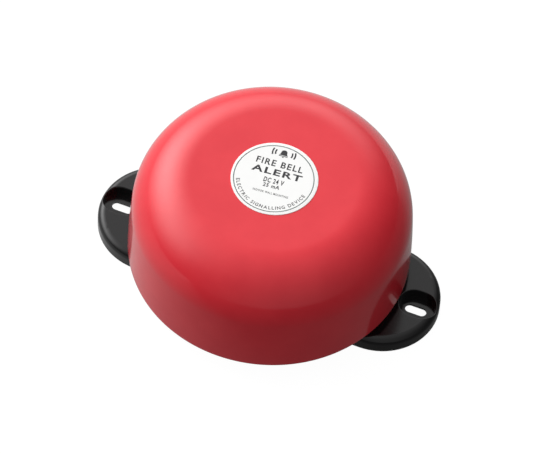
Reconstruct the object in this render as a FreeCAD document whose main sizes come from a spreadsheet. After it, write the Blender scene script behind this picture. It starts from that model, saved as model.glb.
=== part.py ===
import FreeCAD, Part
import math
import os
import Sketcher

# A 24 V motor bell for wall mounting, in millimetres. It lies on its back: +Z is the gong's axis,
# X runs through the two ears, and the origin is the centre of the base's back face.

DRIVING_DIMENSIONS = {
    # Gong: a 150 mm pressed steel dome whose rim stands clear of the base
    "gong_radius": 75.0,
    "gong_height": 62.4,
    "gong_sheet": 1.8,
    "gong_wall_arc": 496.0,
    "gong_wall_angle": 3.95,
    "gong_rim_level": 15.0,
    "gong_rim_round": 0.6,
    "dimple_radius": 15.0,
    "dimple_floor": 12.0,
    "dimple_depth": 4.2,
    "label_radius": 22.8,
    "label_thickness": 0.3,
    # Base: a hollow moulding, a round deck between two ears with recessed slots
    "ear_radius": 31.6,
    "ear_centre": 63.9,
    "ear_height": 9.5,
    "ear_round": 4.0,
    "deck_radius": 62.0,
    "deck_level": 13.0,
    "deck_round": 2.0,
    "moulding_wall": 3.0,
    "slot_centre": 83.7,
    "slot_length": 11.8,
    "slot_width": 5.2,
    "recess_centre": 84.3,
    "recess_length": 19.8,
    "recess_width": 16.6,
    "recess_lip": 0.5,
    "recess_floor_level": 3.2,
    "recess_floor_thickness": 1.5,
    "relief_margin": 2.0,
    "rib_thickness": 2.0,
    "cable_entry_width": 8.0,
    "cable_entry_height": 5.0,
    # Chassis and the central pillar
    "plate_radius": 56.0,
    "plate_thickness": 1.5,
    "plate_screw_across": 44.0,
    "plate_screw_up": 18.0,
    "pillar_flats": 12.0,
    "pillar_thread": 2.5,
    "pillar_thread_depth": 14.0,
    "pillar_boss_height": 4.0,
    "small_thread": 1.5,
    "thread_gap": 0.05,
    "clear_gap": 0.3,
    "overlap": 0.1,
    # Motor, standing on +Y of the pillar
    "motor_offset": 40.0,
    "motor_radius": 12.2,
    "motor_floor_gap": 2.0,
    "motor_cap_height": 3.0,
    "motor_can_height": 18.0,
    "motor_can_wall": 0.8,
    "motor_boss_radius": 3.5,
    "motor_boss_height": 2.5,
    "motor_screw_offset": 8.5,
    "motor_core_level": 6.0,
    "magnet_overhang": 1.0,
    "commutator_level": 1.4,
    "commutator_height": 3.6,
    "motor_thread": 1.25,
    "shaft_radius": 1.5,
    "bush_radius": 3.0,
    "running_gap": 0.03,
    "fit_gap": 0.02,
    "core_radius": 8.6,
    "core_length": 9.0,
    "commutator_radius": 3.2,
    "magnet_thickness": 2.25,
    "bracket_sheet": 1.5,
    "bracket_span": 34.0,
    "bracket_width": 14.0,
    "bracket_foot": 9.0,
    # Striker: a carrier with two hammers that swing out and hit the gong's wall
    "carrier_reach": 15.0,
    "carrier_width": 12.0,
    "carrier_sheet": 2.0,
    "carrier_hub_radius": 5.0,
    "carrier_hub_height": 7.0,
    "carrier_hub_gap": 1.0,
    "carrier_bar_rise": 1.5,
    "hammer_side_gap": 0.2,
    "hammer_fold": 75.0,
    "hammer_width": 5.2,
    "hammer_sheet": 2.0,
    "hammer_eye": 3.4,
    "hammer_head_radius": 4.0,
    "hammer_head_height": 4.3,
    "hammer_stop_radius": 0.95,
    "hammer_stop_offset": 4.9,
    "strike_gap": 0.3,
    # Circuit board on -Y of the pillar
    "board_length": 56.0,
    "board_width": 32.0,
    "board_thickness": 1.6,
    "board_offset": 28.0,
    "board_edge_gap": 3.5,
    "spacer_height": 5.5,
    "capacitor_across": 16.0,
    "small_parts_across": 14.0,
    "terminal_pitch": 5.0,
    "terminal_width": 8.0,
    "terminal_height": 10.0,
    "wire_level": 3.9,
    "lead_radius": 0.9,
    "lead_bend": 2.4,
    "grommet_offset": 51.0,
    "grommet_radius": 4.5,
}


class Size:
    """A number, kept together with the expression over the sheet's cells that gives it."""

    def __init__(self, value, text):
        self.value = value
        self.text = text

    def __add__(self, other):
        other = as_size(other)
        return Size(self.value + other.value, f"({self.text} + {other.text})")

    def __radd__(self, other):
        return as_size(other) + self

    def __sub__(self, other):
        other = as_size(other)
        return Size(self.value - other.value, f"({self.text} - {other.text})")

    def __rsub__(self, other):
        return as_size(other) - self

    def __mul__(self, other):
        other = as_size(other)
        return Size(self.value * other.value, f"({self.text} * {other.text})")

    def __rmul__(self, other):
        return as_size(other) * self

    def __truediv__(self, other):
        other = as_size(other)
        return Size(self.value / other.value, f"({self.text} / {other.text})")

    def __neg__(self):
        return 0 - self


def as_size(quantity):
    """A plain number becomes a size with no cell behind it."""
    if isinstance(quantity, Size):
        return quantity
    return Size(float(quantity), f"({quantity})")


def sine(angle):
    angle = as_size(angle)
    return Size(math.sin(math.radians(angle.value)), f"sin({angle.text})")


def cosine(angle):
    angle = as_size(angle)
    return Size(math.cos(math.radians(angle.value)), f"cos({angle.text})")


def root(size):
    return Size(math.sqrt(size.value), f"sqrt({size.text})")


class Dimensions:
    """The sheet's cells, each as a size under its own alias."""

    def __init__(self, document):
        sheet = document.addObject("Spreadsheet::Sheet", "Dimensions")
        for row, (alias, value) in enumerate(DRIVING_DIMENSIONS.items(), start=1):
            sheet.set(f"A{row}", alias.replace("_", " "))
            sheet.set(f"B{row}", str(value))
            sheet.setAlias(f"B{row}", alias)
            setattr(self, alias, Size(value, f"Dimensions.{alias}"))


document = FreeCAD.newDocument("AlarmBell")
dim = Dimensions(document)
document.recompute()
sub_parts = []
same_place = 1e-4


# ---------------------------------------------------------------- drawing and modelling helpers

def bind(item, path, quantity):
    """Ties one property of a document object to the sheet, unless it is simply zero."""
    size = as_size(quantity)
    if size.value != 0:
        item.setExpression(path, size.text)


class Drawing:
    """A fully dimensioned sketch on one of a body's own origin planes."""

    def __init__(self, piece, plane, right, up, out):
        self.sketch = piece.body.newObject("Sketcher::SketchObject", piece.body.Label + "_sketch")
        self.sketch.AttachmentSupport = [(piece.origin_feature(plane + "_Plane"), "")]
        self.sketch.MapMode = "FlatFace"
        for axis, distance in zip("xyz", (right, up, out)):
            bind(self.sketch, f"AttachmentOffset.Base.{axis}", distance)

    def dimension(self, kind, *geometry, size):
        index = self.sketch.addConstraint(Sketcher.Constraint(kind, *geometry, size.value))
        self.sketch.setExpression(f"Constraints[{index}]", size.text)

    def join(self, kind, *geometry):
        self.sketch.addConstraint(Sketcher.Constraint(kind, *geometry))

    def locate(self, geometry, point, right, up):
        """Dimensions a point from the sketch's origin, or puts it on an axis."""
        for kind, axis, distance in (("DistanceX", -2, right), ("DistanceY", -1, up)):
            distance = as_size(distance)
            if distance.value == 0:
                self.join("PointOnObject", geometry, point, axis)
            else:
                self.dimension(kind, -1, 1, geometry, point, size=distance)

    def circle(self, radius, right=0, up=0):
        radius = as_size(radius)
        centre = FreeCAD.Vector(as_size(right).value, as_size(up).value, 0)
        ring = Part.Circle(centre, FreeCAD.Vector(0, 0, 1), radius.value)
        index = self.sketch.addGeometry(ring, False)
        self.locate(index, 3, right, up)
        self.dimension("Radius", index, size=radius)
        return self

    def outline(self, *corners):
        """A closed outline. A corner is (right, up), or (right, up, radius) where an arc of that
        radius leads on to the next corner: positive turns left, negative turns right."""
        sides = []
        for number, corner in enumerate(corners):
            following = corners[(number + 1) % len(corners)]
            sides.append(self.side(corner, following))
        for number, corner in enumerate(corners):
            index, start, _ = sides[number]
            previous_index, _, previous_end = sides[number - 1]
            self.join("Coincident", previous_index, previous_end, index, start)
            self.locate(index, start, corner[0], corner[1])
        return self

    def side(self, corner, following):
        """Draws one side and gives its index with the numbers of its start and end points."""
        start = FreeCAD.Vector(as_size(corner[0]).value, as_size(corner[1]).value, 0)
        end = FreeCAD.Vector(as_size(following[0]).value, as_size(following[1]).value, 0)
        if len(corner) == 2:
            return self.sketch.addGeometry(Part.LineSegment(start, end), False), 1, 2
        radius = as_size(corner[2])
        turns_left = radius.value > 0
        chord = end - start
        height = math.sqrt(radius.value ** 2 - (chord.Length / 2) ** 2)
        leftward = FreeCAD.Vector(-chord.y, chord.x, 0).normalize()
        centre = start + chord * 0.5 + leftward * (height if turns_left else -height)
        first, last = (start, end) if turns_left else (end, start)
        angles = [math.atan2(point.y - centre.y, point.x - centre.x) for point in (first, last)]
        ring = Part.Circle(centre, FreeCAD.Vector(0, 0, 1), abs(radius.value))
        index = self.sketch.addGeometry(Part.ArcOfCircle(ring, *angles), False)
        self.dimension("Radius", index, size=radius if turns_left else -radius)
        return (index, 1, 2) if turns_left else (index, 2, 1)

    def rectangle(self, length, width, right=0, up=0):
        half_length = as_size(length) / 2
        half_width = as_size(width) / 2
        return self.outline(
            (right - half_length, up - half_width),
            (right + half_length, up - half_width),
            (right + half_length, up + half_width),
            (right - half_length, up + half_width),
        )

    def obround(self, length, width, right=0):
        """A slot shape along the sketch's first axis, from end to end."""
        radius = as_size(width) / 2
        reach = (as_size(length) - width) / 2
        up = FreeCAD.Vector(0, 0, 1)
        ends = []
        for sign, first, last in ((1, -90, 90), (-1, 90, 270)):
            centre = FreeCAD.Vector(as_size(right + sign * reach).value, 0, 0)
            ring = Part.Circle(centre, up, radius.value)
            arc = Part.ArcOfCircle(ring, math.radians(first), math.radians(last))
            ends.append(self.sketch.addGeometry(arc, False))
            self.locate(ends[-1], 3, right + sign * reach, 0)
        for first, last in (ends, ends[::-1]):
            start = self.sketch.getPoint(first, 2)
            line = Part.LineSegment(start, self.sketch.getPoint(last, 1))
            index = self.sketch.addGeometry(line, False)
            self.join("Tangent", first, 2, index, 1)
            self.join("Tangent", index, 2, last, 1)
        self.join("Equal", *ends)
        self.dimension("Radius", ends[0], size=radius)
        return self

    def hexagon(self, flats):
        corner_radius = flats / math.sqrt(3)
        corners = []
        for number in range(6):
            angle = math.radians(60 * number)
            corners.append((corner_radius * math.cos(angle), corner_radius * round(math.sin(angle), 12)))
        return self.outline(*corners)

    def ring_sector(self, inner, outer, half_angle):
        """A piece of a ring, centred on the sketch's first axis."""
        across = cosine(half_angle)
        rise = sine(half_angle)
        return self.outline(
            (outer * across, -outer * rise, outer),
            (outer * across, outer * rise),
            (inner * across, inner * rise, -inner),
            (inner * across, -inner * rise),
        )


class Piece:
    """One separate piece of the bell, made as a PartDesign body."""

    def __init__(self, label, x=0, y=0, z=0, turn=0, upside_down=False):
        self.body = document.addObject("PartDesign::Body", label)
        self.body.Label = label
        rotation = FreeCAD.Rotation(FreeCAD.Vector(0, 0, 1), as_size(turn).value)
        if upside_down:
            rotation = FreeCAD.Rotation(FreeCAD.Vector(1, 0, 0), 180)
        self.body.Placement = FreeCAD.Placement(FreeCAD.Vector(0, 0, 0), rotation)
        for axis, distance in zip("xyz", (x, y, z)):
            bind(self.body, f"Placement.Base.{axis}", distance)
        if not upside_down:
            bind(self.body, "Placement.Rotation.Angle", turn)
        sub_parts.append(self.body)

    def origin_feature(self, role):
        return next(item for item in self.body.Origin.OriginFeatures if item.Role == role)

    def drawing(self, plane="XY", right=0, up=0, out=0):
        return Drawing(self, plane, right, up, out)

    def feature(self, kind, grows):
        """Adds a PartDesign feature and remembers how the volume has to change."""
        volume = self.body.Shape.Volume if self.body.Tip else 0.0
        item = self.body.newObject("PartDesign::" + kind, f"{self.body.Label}_{kind.lower()}")
        return item, volume, grows

    def settle(self, item, volume, grows):
        """Recomputes and makes sure that the feature added or removed material."""
        self.body.Tip = item
        document.recompute()
        change = self.body.Shape.Volume - volume
        if change * grows <= 0:
            raise RuntimeError(f"{item.Name} changed the volume by {change:.3f} cubic mm")
        return item

    def pad(self, drawing, length, both_ways=False, downward=False):
        item, volume, grows = self.feature("Pad", 1)
        item.Profile = drawing.sketch
        item.SideType = "Symmetric" if both_ways else "One side"
        item.Reversed = downward
        bind(item, "Length", length)
        return self.settle(item, volume, grows)

    def pocket(self, drawing, depth=None, upward=False):
        """Cuts against the sketch's normal, or along it when upward; with no depth, right through."""
        item, volume, grows = self.feature("Pocket", -1)
        item.Profile = drawing.sketch
        item.Reversed = upward
        if depth is None:
            item.SideType = "Symmetric"
            item.Type = "ThroughAll"
        else:
            bind(item, "Length", depth)
        return self.settle(item, volume, grows)

    def revolve(self, drawing, axis="V_Axis"):
        item, volume, grows = self.feature("Revolution", 1)
        item.Profile = drawing.sketch
        item.ReferenceAxis = (drawing.sketch, [axis])
        item.Angle = 360
        return self.settle(item, volume, grows)

    def edges(self, test):
        """The names of the tip's edges whose box passes the test."""
        shape = self.body.Tip.Shape
        return [f"Edge{number}" for number, edge in enumerate(shape.Edges, start=1)
                if test(edge.BoundBox)]

    def edges_at(self, level):
        level = as_size(level).value
        return self.edges(lambda box: max(abs(box.ZMin - level), abs(box.ZMax - level)) < same_place)

    def fillet(self, edges, radius):
        base = self.body.Tip
        item, _, _ = self.feature("Fillet", -1)
        item.Base = (base, edges)
        bind(item, "Radius", radius)
        self.body.Tip = item
        document.recompute()
        return item

    def chamfer(self, edges, size):
        base = self.body.Tip
        item, _, _ = self.feature("Chamfer", -1)
        item.Base = (base, edges)
        bind(item, "Size", size)
        self.body.Tip = item
        document.recompute()
        return item

    def repeat_around(self, features, count):
        """Repeats features about the body's Z axis."""
        item, volume, _ = self.feature("PolarPattern", 1)
        item.Originals = features
        item.Axis = (self.origin_feature("Z_Axis"), [""])
        item.Angle = 360
        item.Occurrences = count
        self.body.Tip = item
        document.recompute()
        return item

    def mirror(self, *planes):
        """Mirrors the whole piece in each of the body's planes in turn."""
        for plane in planes:
            item, volume, grows = self.feature("Mirrored", 1)
            item.TransformMode = "Whole shape"
            item.MirrorPlane = (self.origin_feature(plane + "_Plane"), [""])
            self.settle(item, volume, grows)
        return self


def screw(piece, thread, length, right=0, up=0, cross=True):
    """A low pan-head screw: its head stands on the local z = 0 and its shank points down."""
    head_radius = thread * 1.87
    head_height = thread * 1.1
    head_side = head_height * 0.4
    crown = head_height - head_side
    dome_radius = (head_radius * head_radius + crown * crown) / (crown * 2)
    tip = thread * 0.3
    profile = piece.drawing("XZ", right=right, out=-as_size(up)).outline(
        (0, -as_size(length)),
        (thread - tip, -as_size(length)),
        (thread, tip - length),
        (thread, 0),
        (head_radius, 0),
        (head_radius, head_side, dome_radius),
        (0, head_height),
    )
    piece.revolve(profile)
    slot_length = head_radius * (1.1 if cross else 3)
    slot_width = thread * 0.36
    slot_depth = head_height * 0.7
    drive = piece.drawing("XY", right=right, up=up, out=head_height).rectangle(slot_length, slot_width)
    piece.pocket(drive, slot_depth)
    if cross:
        drive = piece.drawing("XY", right=right, up=up, out=head_height).rectangle(slot_width, slot_length)
        piece.pocket(drive, slot_depth)


def four_screws(label, centre_y, level, thread, length, across, up):
    """Four equal screws at the corners of a rectangle."""
    piece = Piece(label, y=centre_y, z=level)
    screw(piece, thread, length, across, up)
    piece.mirror("YZ", "XZ")


def ring(label, inner, outer, height, x=0, y=0, z=0):
    """A plain washer, bush or spacer."""
    piece = Piece(label, x, y, z)
    piece.pad(piece.drawing().circle(outer).circle(inner), height)
    return piece


# ---------------------------------------------------------------- levels that several pieces share

gong_face_level = dim.gong_rim_level + dim.gong_height
dimple_level = gong_face_level - dim.dimple_depth
gong_pad_height = dim.gong_sheet * 0.45
gong_washer_height = dim.gong_sheet * 0.55
pillar_top = dimple_level - dim.gong_sheet - gong_pad_height
plate_level = dim.deck_level + dim.plate_thickness
deck_thickness = dim.moulding_wall
cavity_roof = dim.deck_level - deck_thickness
boss_foot = cavity_roof - dim.pillar_boss_height
clear_hole = dim.pillar_thread + dim.clear_gap
small_hole = dim.small_thread + dim.thread_gap

motor_floor = plate_level + dim.motor_floor_gap
motor_can_floor = motor_floor + dim.motor_cap_height
motor_face = motor_can_floor + dim.motor_can_height
bracket_top = motor_face + dim.bracket_sheet
hub_level = motor_face + dim.motor_boss_height + dim.carrier_hub_gap
carrier_level = hub_level + dim.carrier_bar_rise
hammer_level = carrier_level + dim.carrier_sheet + dim.hammer_side_gap

board_level = plate_level + dim.spacer_height
board_top = board_level + dim.board_thickness
board_hole_across = dim.board_length / 2 - dim.board_edge_gap
board_hole_up = dim.board_width / 2 - dim.board_edge_gap
terminal_centre = dim.terminal_width / 2 - dim.board_offset - dim.board_width / 2

# The hammer's length follows from the gong's inner wall at the top of the striking head
strike_height = hammer_level - dim.gong_rim_level
wall_arc_drop = dim.gong_wall_arc - root(
    dim.gong_wall_arc * dim.gong_wall_arc - strike_height * strike_height)
gong_inner_radius = dim.gong_radius - wall_arc_drop - dim.gong_sheet
hammer_reach = gong_inner_radius - dim.strike_gap - dim.motor_offset
head_offset = hammer_reach - dim.carrier_reach - dim.hammer_head_radius


# ---------------------------------------------------------------- gong, its clamp and its label

def make_gong():
    """The dome: a slightly drafted wall, one round shoulder, a flat face and a centre dimple."""
    sheet = dim.gong_sheet
    rise = sine(dim.gong_wall_angle)
    inward = cosine(dim.gong_wall_angle)
    wall_top = dim.gong_wall_arc * rise
    wall_top_radius = dim.gong_radius - dim.gong_wall_arc * (1 - inward)
    shoulder = (dim.gong_height - wall_top) / (1 - rise)
    face_radius = wall_top_radius - shoulder * inward
    under_face = dim.gong_height - sheet
    floor = dim.gong_height - dim.dimple_depth
    bend = sheet / 2
    piece = Piece("gong", z=dim.gong_rim_level)
    piece.revolve(piece.drawing("XZ").outline(
        (dim.gong_radius, 0, dim.gong_wall_arc),
        (wall_top_radius, wall_top, shoulder),
        (face_radius, dim.gong_height),
        (dim.dimple_radius, dim.gong_height),
        (dim.dimple_floor, floor),
        (clear_hole, floor),
        (clear_hole, floor - sheet),
        (dim.dimple_floor + bend, floor - sheet),
        (dim.dimple_radius + bend, under_face),
        (face_radius, under_face, sheet - shoulder),
        (wall_top_radius - sheet * inward, wall_top - sheet * rise, sheet - dim.gong_wall_arc),
        (dim.gong_radius - sheet, 0),
    ))
    piece.fillet(piece.edges_at(0), dim.gong_rim_round)


def make_gong_label():
    piece = Piece("gong_label", z=gong_face_level)
    piece.pad(piece.drawing().circle(dim.label_radius), dim.label_thickness)


def make_gong_clamp():
    """The pillar carries the gong between a soft pad and a washer, under one screw."""
    pillar = Piece("pillar", z=plate_level)
    height = pillar_top - plate_level
    hole = dim.pillar_thread + dim.thread_gap
    pillar.pad(pillar.drawing().hexagon(dim.pillar_flats), height)
    pillar.chamfer(pillar.edges_at(0) + pillar.edges_at(height), dim.pillar_flats / 20)
    pillar.pocket(pillar.drawing().circle(hole), dim.pillar_thread_depth, upward=True)
    pillar.pocket(pillar.drawing(out=height).circle(hole), dim.pillar_thread_depth)

    ring("gong_pad", clear_hole, dim.pillar_flats * 0.58, gong_pad_height, z=pillar_top)
    ring("gong_washer", clear_hole, dim.pillar_flats * 0.46, gong_washer_height, z=dimple_level)

    gong_screw = Piece("gong_screw", z=dimple_level + gong_washer_height)
    thread_end_gap = 2
    screw(gong_screw, dim.pillar_thread, dim.pillar_thread_depth - thread_end_gap)

    pillar_screw = Piece("pillar_screw", z=boss_foot, upside_down=True)
    grip = plate_level - boss_foot
    screw(pillar_screw, dim.pillar_thread, grip + dim.pillar_thread_depth - thread_end_gap * 2.5)


# ---------------------------------------------------------------- base and chassis

def make_base():
    """The moulding: ears and deck, hollowed from behind, with recesses, slots, bosses and ribs."""
    piece = Piece("base")
    wall = dim.moulding_wall
    ear_length = (dim.ear_centre + dim.ear_radius) * 2
    ear_width = dim.ear_radius * 2
    piece.pad(piece.drawing().obround(ear_length, ear_width), dim.ear_height)
    piece.fillet(piece.edges_at(dim.ear_height), dim.ear_round)
    piece.pad(piece.drawing().circle(dim.deck_radius), dim.deck_level)
    piece.fillet(piece.edges_at(dim.deck_level), dim.deck_round)

    ear_roof = dim.ear_height - wall
    hollow_length = ear_length - wall * 2
    hollow_width = ear_width - wall * 2
    piece.pocket(piece.drawing().obround(hollow_length, hollow_width), ear_roof, upward=True)
    piece.pocket(piece.drawing().circle(dim.deck_radius - wall), cavity_roof, upward=True)
    make_ears_solid(piece, ear_roof)
    make_cavity_ribs(piece)
    make_deck_holes(piece)


def make_ears_solid(piece, ear_roof):
    """A cup behind each ear carries the recess. The slot goes through a thin floor, hollowed from behind."""
    cup_wall = dim.moulding_wall * 0.8
    inside_rim = 0.3
    cup_end = dim.ear_centre + dim.ear_radius - inside_rim
    cup_start = dim.recess_centre - dim.recess_length / 2 - cup_wall
    cup_centre = (cup_end + cup_start) / 2
    rib_start = dim.deck_radius - dim.moulding_wall
    rib_floor = dim.moulding_wall / 3
    for sign in (1, -1):
        cup = piece.drawing(right=sign * cup_centre)
        cup.obround(cup_end - cup_start, dim.recess_width + cup_wall * 2)
        piece.pad(cup, ear_roof + dim.overlap)
        rib_length = cup_start - rib_start + dim.rib_thickness
        rib = piece.drawing(right=sign * (rib_start + rib_length / 2 - dim.overlap), out=rib_floor)
        piece.pad(rib.rectangle(rib_length, dim.rib_thickness), ear_roof + dim.overlap - rib_floor)
    recess_depth = dim.ear_height - dim.recess_floor_level
    relief_depth = dim.recess_floor_level - dim.recess_floor_thickness
    relief_length = dim.recess_length - dim.relief_margin * 2
    relief_width = dim.recess_width - dim.relief_margin * 2
    slot_depth = dim.recess_floor_level + dim.overlap
    for sign in (1, -1):
        recess = piece.drawing(right=sign * dim.recess_centre, out=dim.ear_height)
        piece.pocket(recess.obround(dim.recess_length, dim.recess_width), recess_depth)
        relief = piece.drawing(right=sign * dim.recess_centre)
        piece.pocket(relief.obround(relief_length, relief_width), relief_depth, upward=True)
        slot = piece.drawing(right=sign * dim.slot_centre)
        piece.pocket(slot.obround(dim.slot_length, dim.slot_width), slot_depth, upward=True)
    round_recess_lips(piece)


def round_recess_lips(piece):
    """Rounds the mouth of each recess, including where it runs out through the ear's rounded rim."""
    slack = 0.01
    start = (dim.recess_centre - dim.recess_length / 2).value - slack
    end = (dim.recess_centre + dim.recess_length / 2).value + slack
    side = dim.recess_width.value / 2 + slack
    lowest = (dim.ear_height - dim.ear_round / 2).value

    def is_lip(box):
        near, far = sorted((abs(box.XMin), abs(box.XMax)))
        return start < near and far < end and box.YMax < side and box.YMin > -side and box.ZMin > lowest

    piece.fillet(piece.edges(is_lip), dim.recess_lip)


def make_cavity_ribs(piece):
    """Six ribs under the deck, a centre boss for the pillar's screw and four screw bosses."""
    rib_length = dim.deck_radius - dim.moulding_wall
    rib = piece.drawing(right=rib_length / 2, out=dim.moulding_wall)
    rib.rectangle(rib_length, dim.rib_thickness)
    ribs = piece.pad(rib, cavity_roof + dim.overlap - dim.moulding_wall)
    piece.repeat_around([ribs], 6)
    centre_boss = piece.drawing(out=boss_foot).circle(dim.pillar_flats * 0.75)
    piece.pad(centre_boss, dim.pillar_boss_height + dim.overlap)
    bosses = piece.drawing(out=cavity_roof - dim.pillar_boss_height)
    for across in (dim.plate_screw_across, -dim.plate_screw_across):
        for up in (dim.plate_screw_up, -dim.plate_screw_up):
            bosses.circle(dim.small_thread * 2.8, across, up)
    piece.pad(bosses, dim.pillar_boss_height + dim.overlap)
    head_clearance = piece.drawing().circle(dim.pillar_thread * 2.2)
    piece.pocket(head_clearance, boss_foot, upward=True)


def make_deck_holes(piece):
    """Holes for the pillar's screw, the chassis screws and the grommet, and the cable notch."""
    piece.pocket(piece.drawing().circle(clear_hole))
    pilots = piece.drawing(out=dim.deck_level)
    for across in (dim.plate_screw_across, -dim.plate_screw_across):
        for up in (dim.plate_screw_up, -dim.plate_screw_up):
            pilots.circle(small_hole, across, up)
    pilot_end = 0.4
    piece.pocket(pilots, deck_thickness + dim.pillar_boss_height - pilot_end)
    piece.pocket(piece.drawing(up=-dim.grommet_offset).circle(dim.grommet_radius))
    notch_middle = dim.deck_radius - dim.moulding_wall / 2
    notch = piece.drawing(up=-notch_middle)
    notch.rectangle(dim.cable_entry_width, dim.moulding_wall * 2)
    piece.pocket(notch, dim.cable_entry_height, upward=True)


def make_chassis():
    """A round steel plate on the deck, held by four screws that cut into the base's bosses."""
    piece = Piece("chassis_plate", z=dim.deck_level)
    piece.pad(piece.drawing().circle(dim.plate_radius), dim.plate_thickness)
    holes = piece.drawing().circle(clear_hole)
    for across in (1, -1):
        for up in (1, -1):
            holes.circle(small_hole, across * dim.plate_screw_across, up * dim.plate_screw_up)
            holes.circle(small_hole, across * board_hole_across, up * board_hole_up - dim.board_offset)
        holes.circle(small_hole, across * bracket_hole_across(), dim.motor_offset)
    piece.pocket(holes)
    grommet_room = 2.5
    notch = piece.drawing(up=-dim.grommet_offset).circle(dim.grommet_radius + grommet_room)
    piece.pocket(notch)
    screw_length = deck_thickness + dim.pillar_boss_height
    four_screws("chassis_screws", 0, plate_level, dim.small_thread, screw_length,
                dim.plate_screw_across, dim.plate_screw_up)


# ---------------------------------------------------------------- motor

def bracket_hole_across():
    return dim.bracket_span / 2 + dim.bracket_foot / 2


def make_motor_bracket():
    """A bent bridge over the motor: the motor hangs from its top by two screws."""
    piece = Piece("motor_bracket", y=dim.motor_offset, z=plate_level)
    sheet = dim.bracket_sheet
    height = bracket_top - plate_level
    outside = dim.bracket_span / 2
    foot_end = outside + dim.bracket_foot
    piece.pad(piece.drawing("XZ").outline(
        (-foot_end, 0), (sheet - outside, 0), (sheet - outside, height - sheet),
        (outside - sheet, height - sheet), (outside - sheet, 0), (foot_end, 0),
        (foot_end, sheet), (outside, sheet), (outside, height),
        (-outside, height), (-outside, sheet), (-foot_end, sheet),
    ), dim.bracket_width, both_ways=True)
    outer_corner = outside.value
    inner_corner = (outside - sheet).value

    def is_bend(box):
        runs_across = abs(box.XMax - box.XMin) < same_place and abs(box.ZMax - box.ZMin) < same_place
        corners = ((outer_corner, height.value), (inner_corner, (height - sheet).value))
        return runs_across and any(
            abs(abs(box.XMax) - across) < same_place and abs(box.ZMax - level) < same_place
            for across, level in corners)

    piece.fillet(piece.edges(is_bend), sheet * 0.8)
    holes = piece.drawing().circle(dim.motor_boss_radius + dim.clear_gap)
    for across in (1, -1):
        holes.circle(dim.motor_thread + dim.thread_gap, across * dim.motor_screw_offset)
        holes.circle(small_hole, across * bracket_hole_across())
    piece.pocket(holes)

    feet = Piece("bracket_screws", y=dim.motor_offset, z=plate_level + sheet)
    screw(feet, dim.small_thread, sheet + dim.plate_thickness, bracket_hole_across())
    feet.mirror("YZ")

    face = Piece("motor_screws", y=dim.motor_offset, z=bracket_top)
    screw(face, dim.motor_thread, sheet + dim.motor_can_wall, dim.motor_screw_offset)
    face.mirror("YZ")


def make_motor_case():
    """The drawn can with its front boss, and the moulded end cap that closes it from below."""
    can = Piece("motor_can", y=dim.motor_offset, z=motor_can_floor)
    radius = dim.motor_radius
    wall = dim.motor_can_wall
    height = dim.motor_can_height
    bore = dim.bush_radius + dim.fit_gap
    can.revolve(can.drawing("XZ").outline(
        (radius - wall, 0), (radius, 0), (radius, height), (dim.motor_boss_radius, height),
        (dim.motor_boss_radius, height + dim.motor_boss_height), (bore, height + dim.motor_boss_height),
        (bore, height - wall), (radius - wall, height - wall),
    ))
    rim = radius.value
    top_edge = can.edges(
        lambda box: abs(box.ZMin - height.value) < same_place and abs(box.XMax - rim) < same_place * 10)
    can.fillet(top_edge, wall * 0.9)
    holes = can.drawing(out=height)
    for across in (1, -1):
        holes.circle(dim.motor_thread + dim.thread_gap, across * dim.motor_screw_offset)
    can.pocket(holes, wall * 2)
    vent = can.drawing("XZ", up=height * 0.3)
    can.pocket(vent.obround(height * 0.4, height * 0.14))

    cap = Piece("motor_end_cap", y=dim.motor_offset, z=motor_floor)
    spigot = 1.0
    cap.pad(cap.drawing().circle(radius), dim.motor_cap_height)
    cap.pad(cap.drawing().circle(radius - wall - dim.fit_gap), dim.motor_cap_height + spigot)
    cap.pocket(cap.drawing().circle(bore))
    slots = cap.drawing()
    for across in (1, -1):
        slots.rectangle(terminal_width() + dim.thread_gap * 2, terminal_sheet() + dim.thread_gap * 2,
                        across * terminal_across(), -terminal_up())
    cap.pocket(slots)


def terminal_across():
    return dim.motor_radius * 0.41


def terminal_up():
    return dim.motor_radius * 0.72


def terminal_width():
    return dim.motor_radius * 0.22


def terminal_sheet():
    return dim.motor_radius * 0.04


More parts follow.
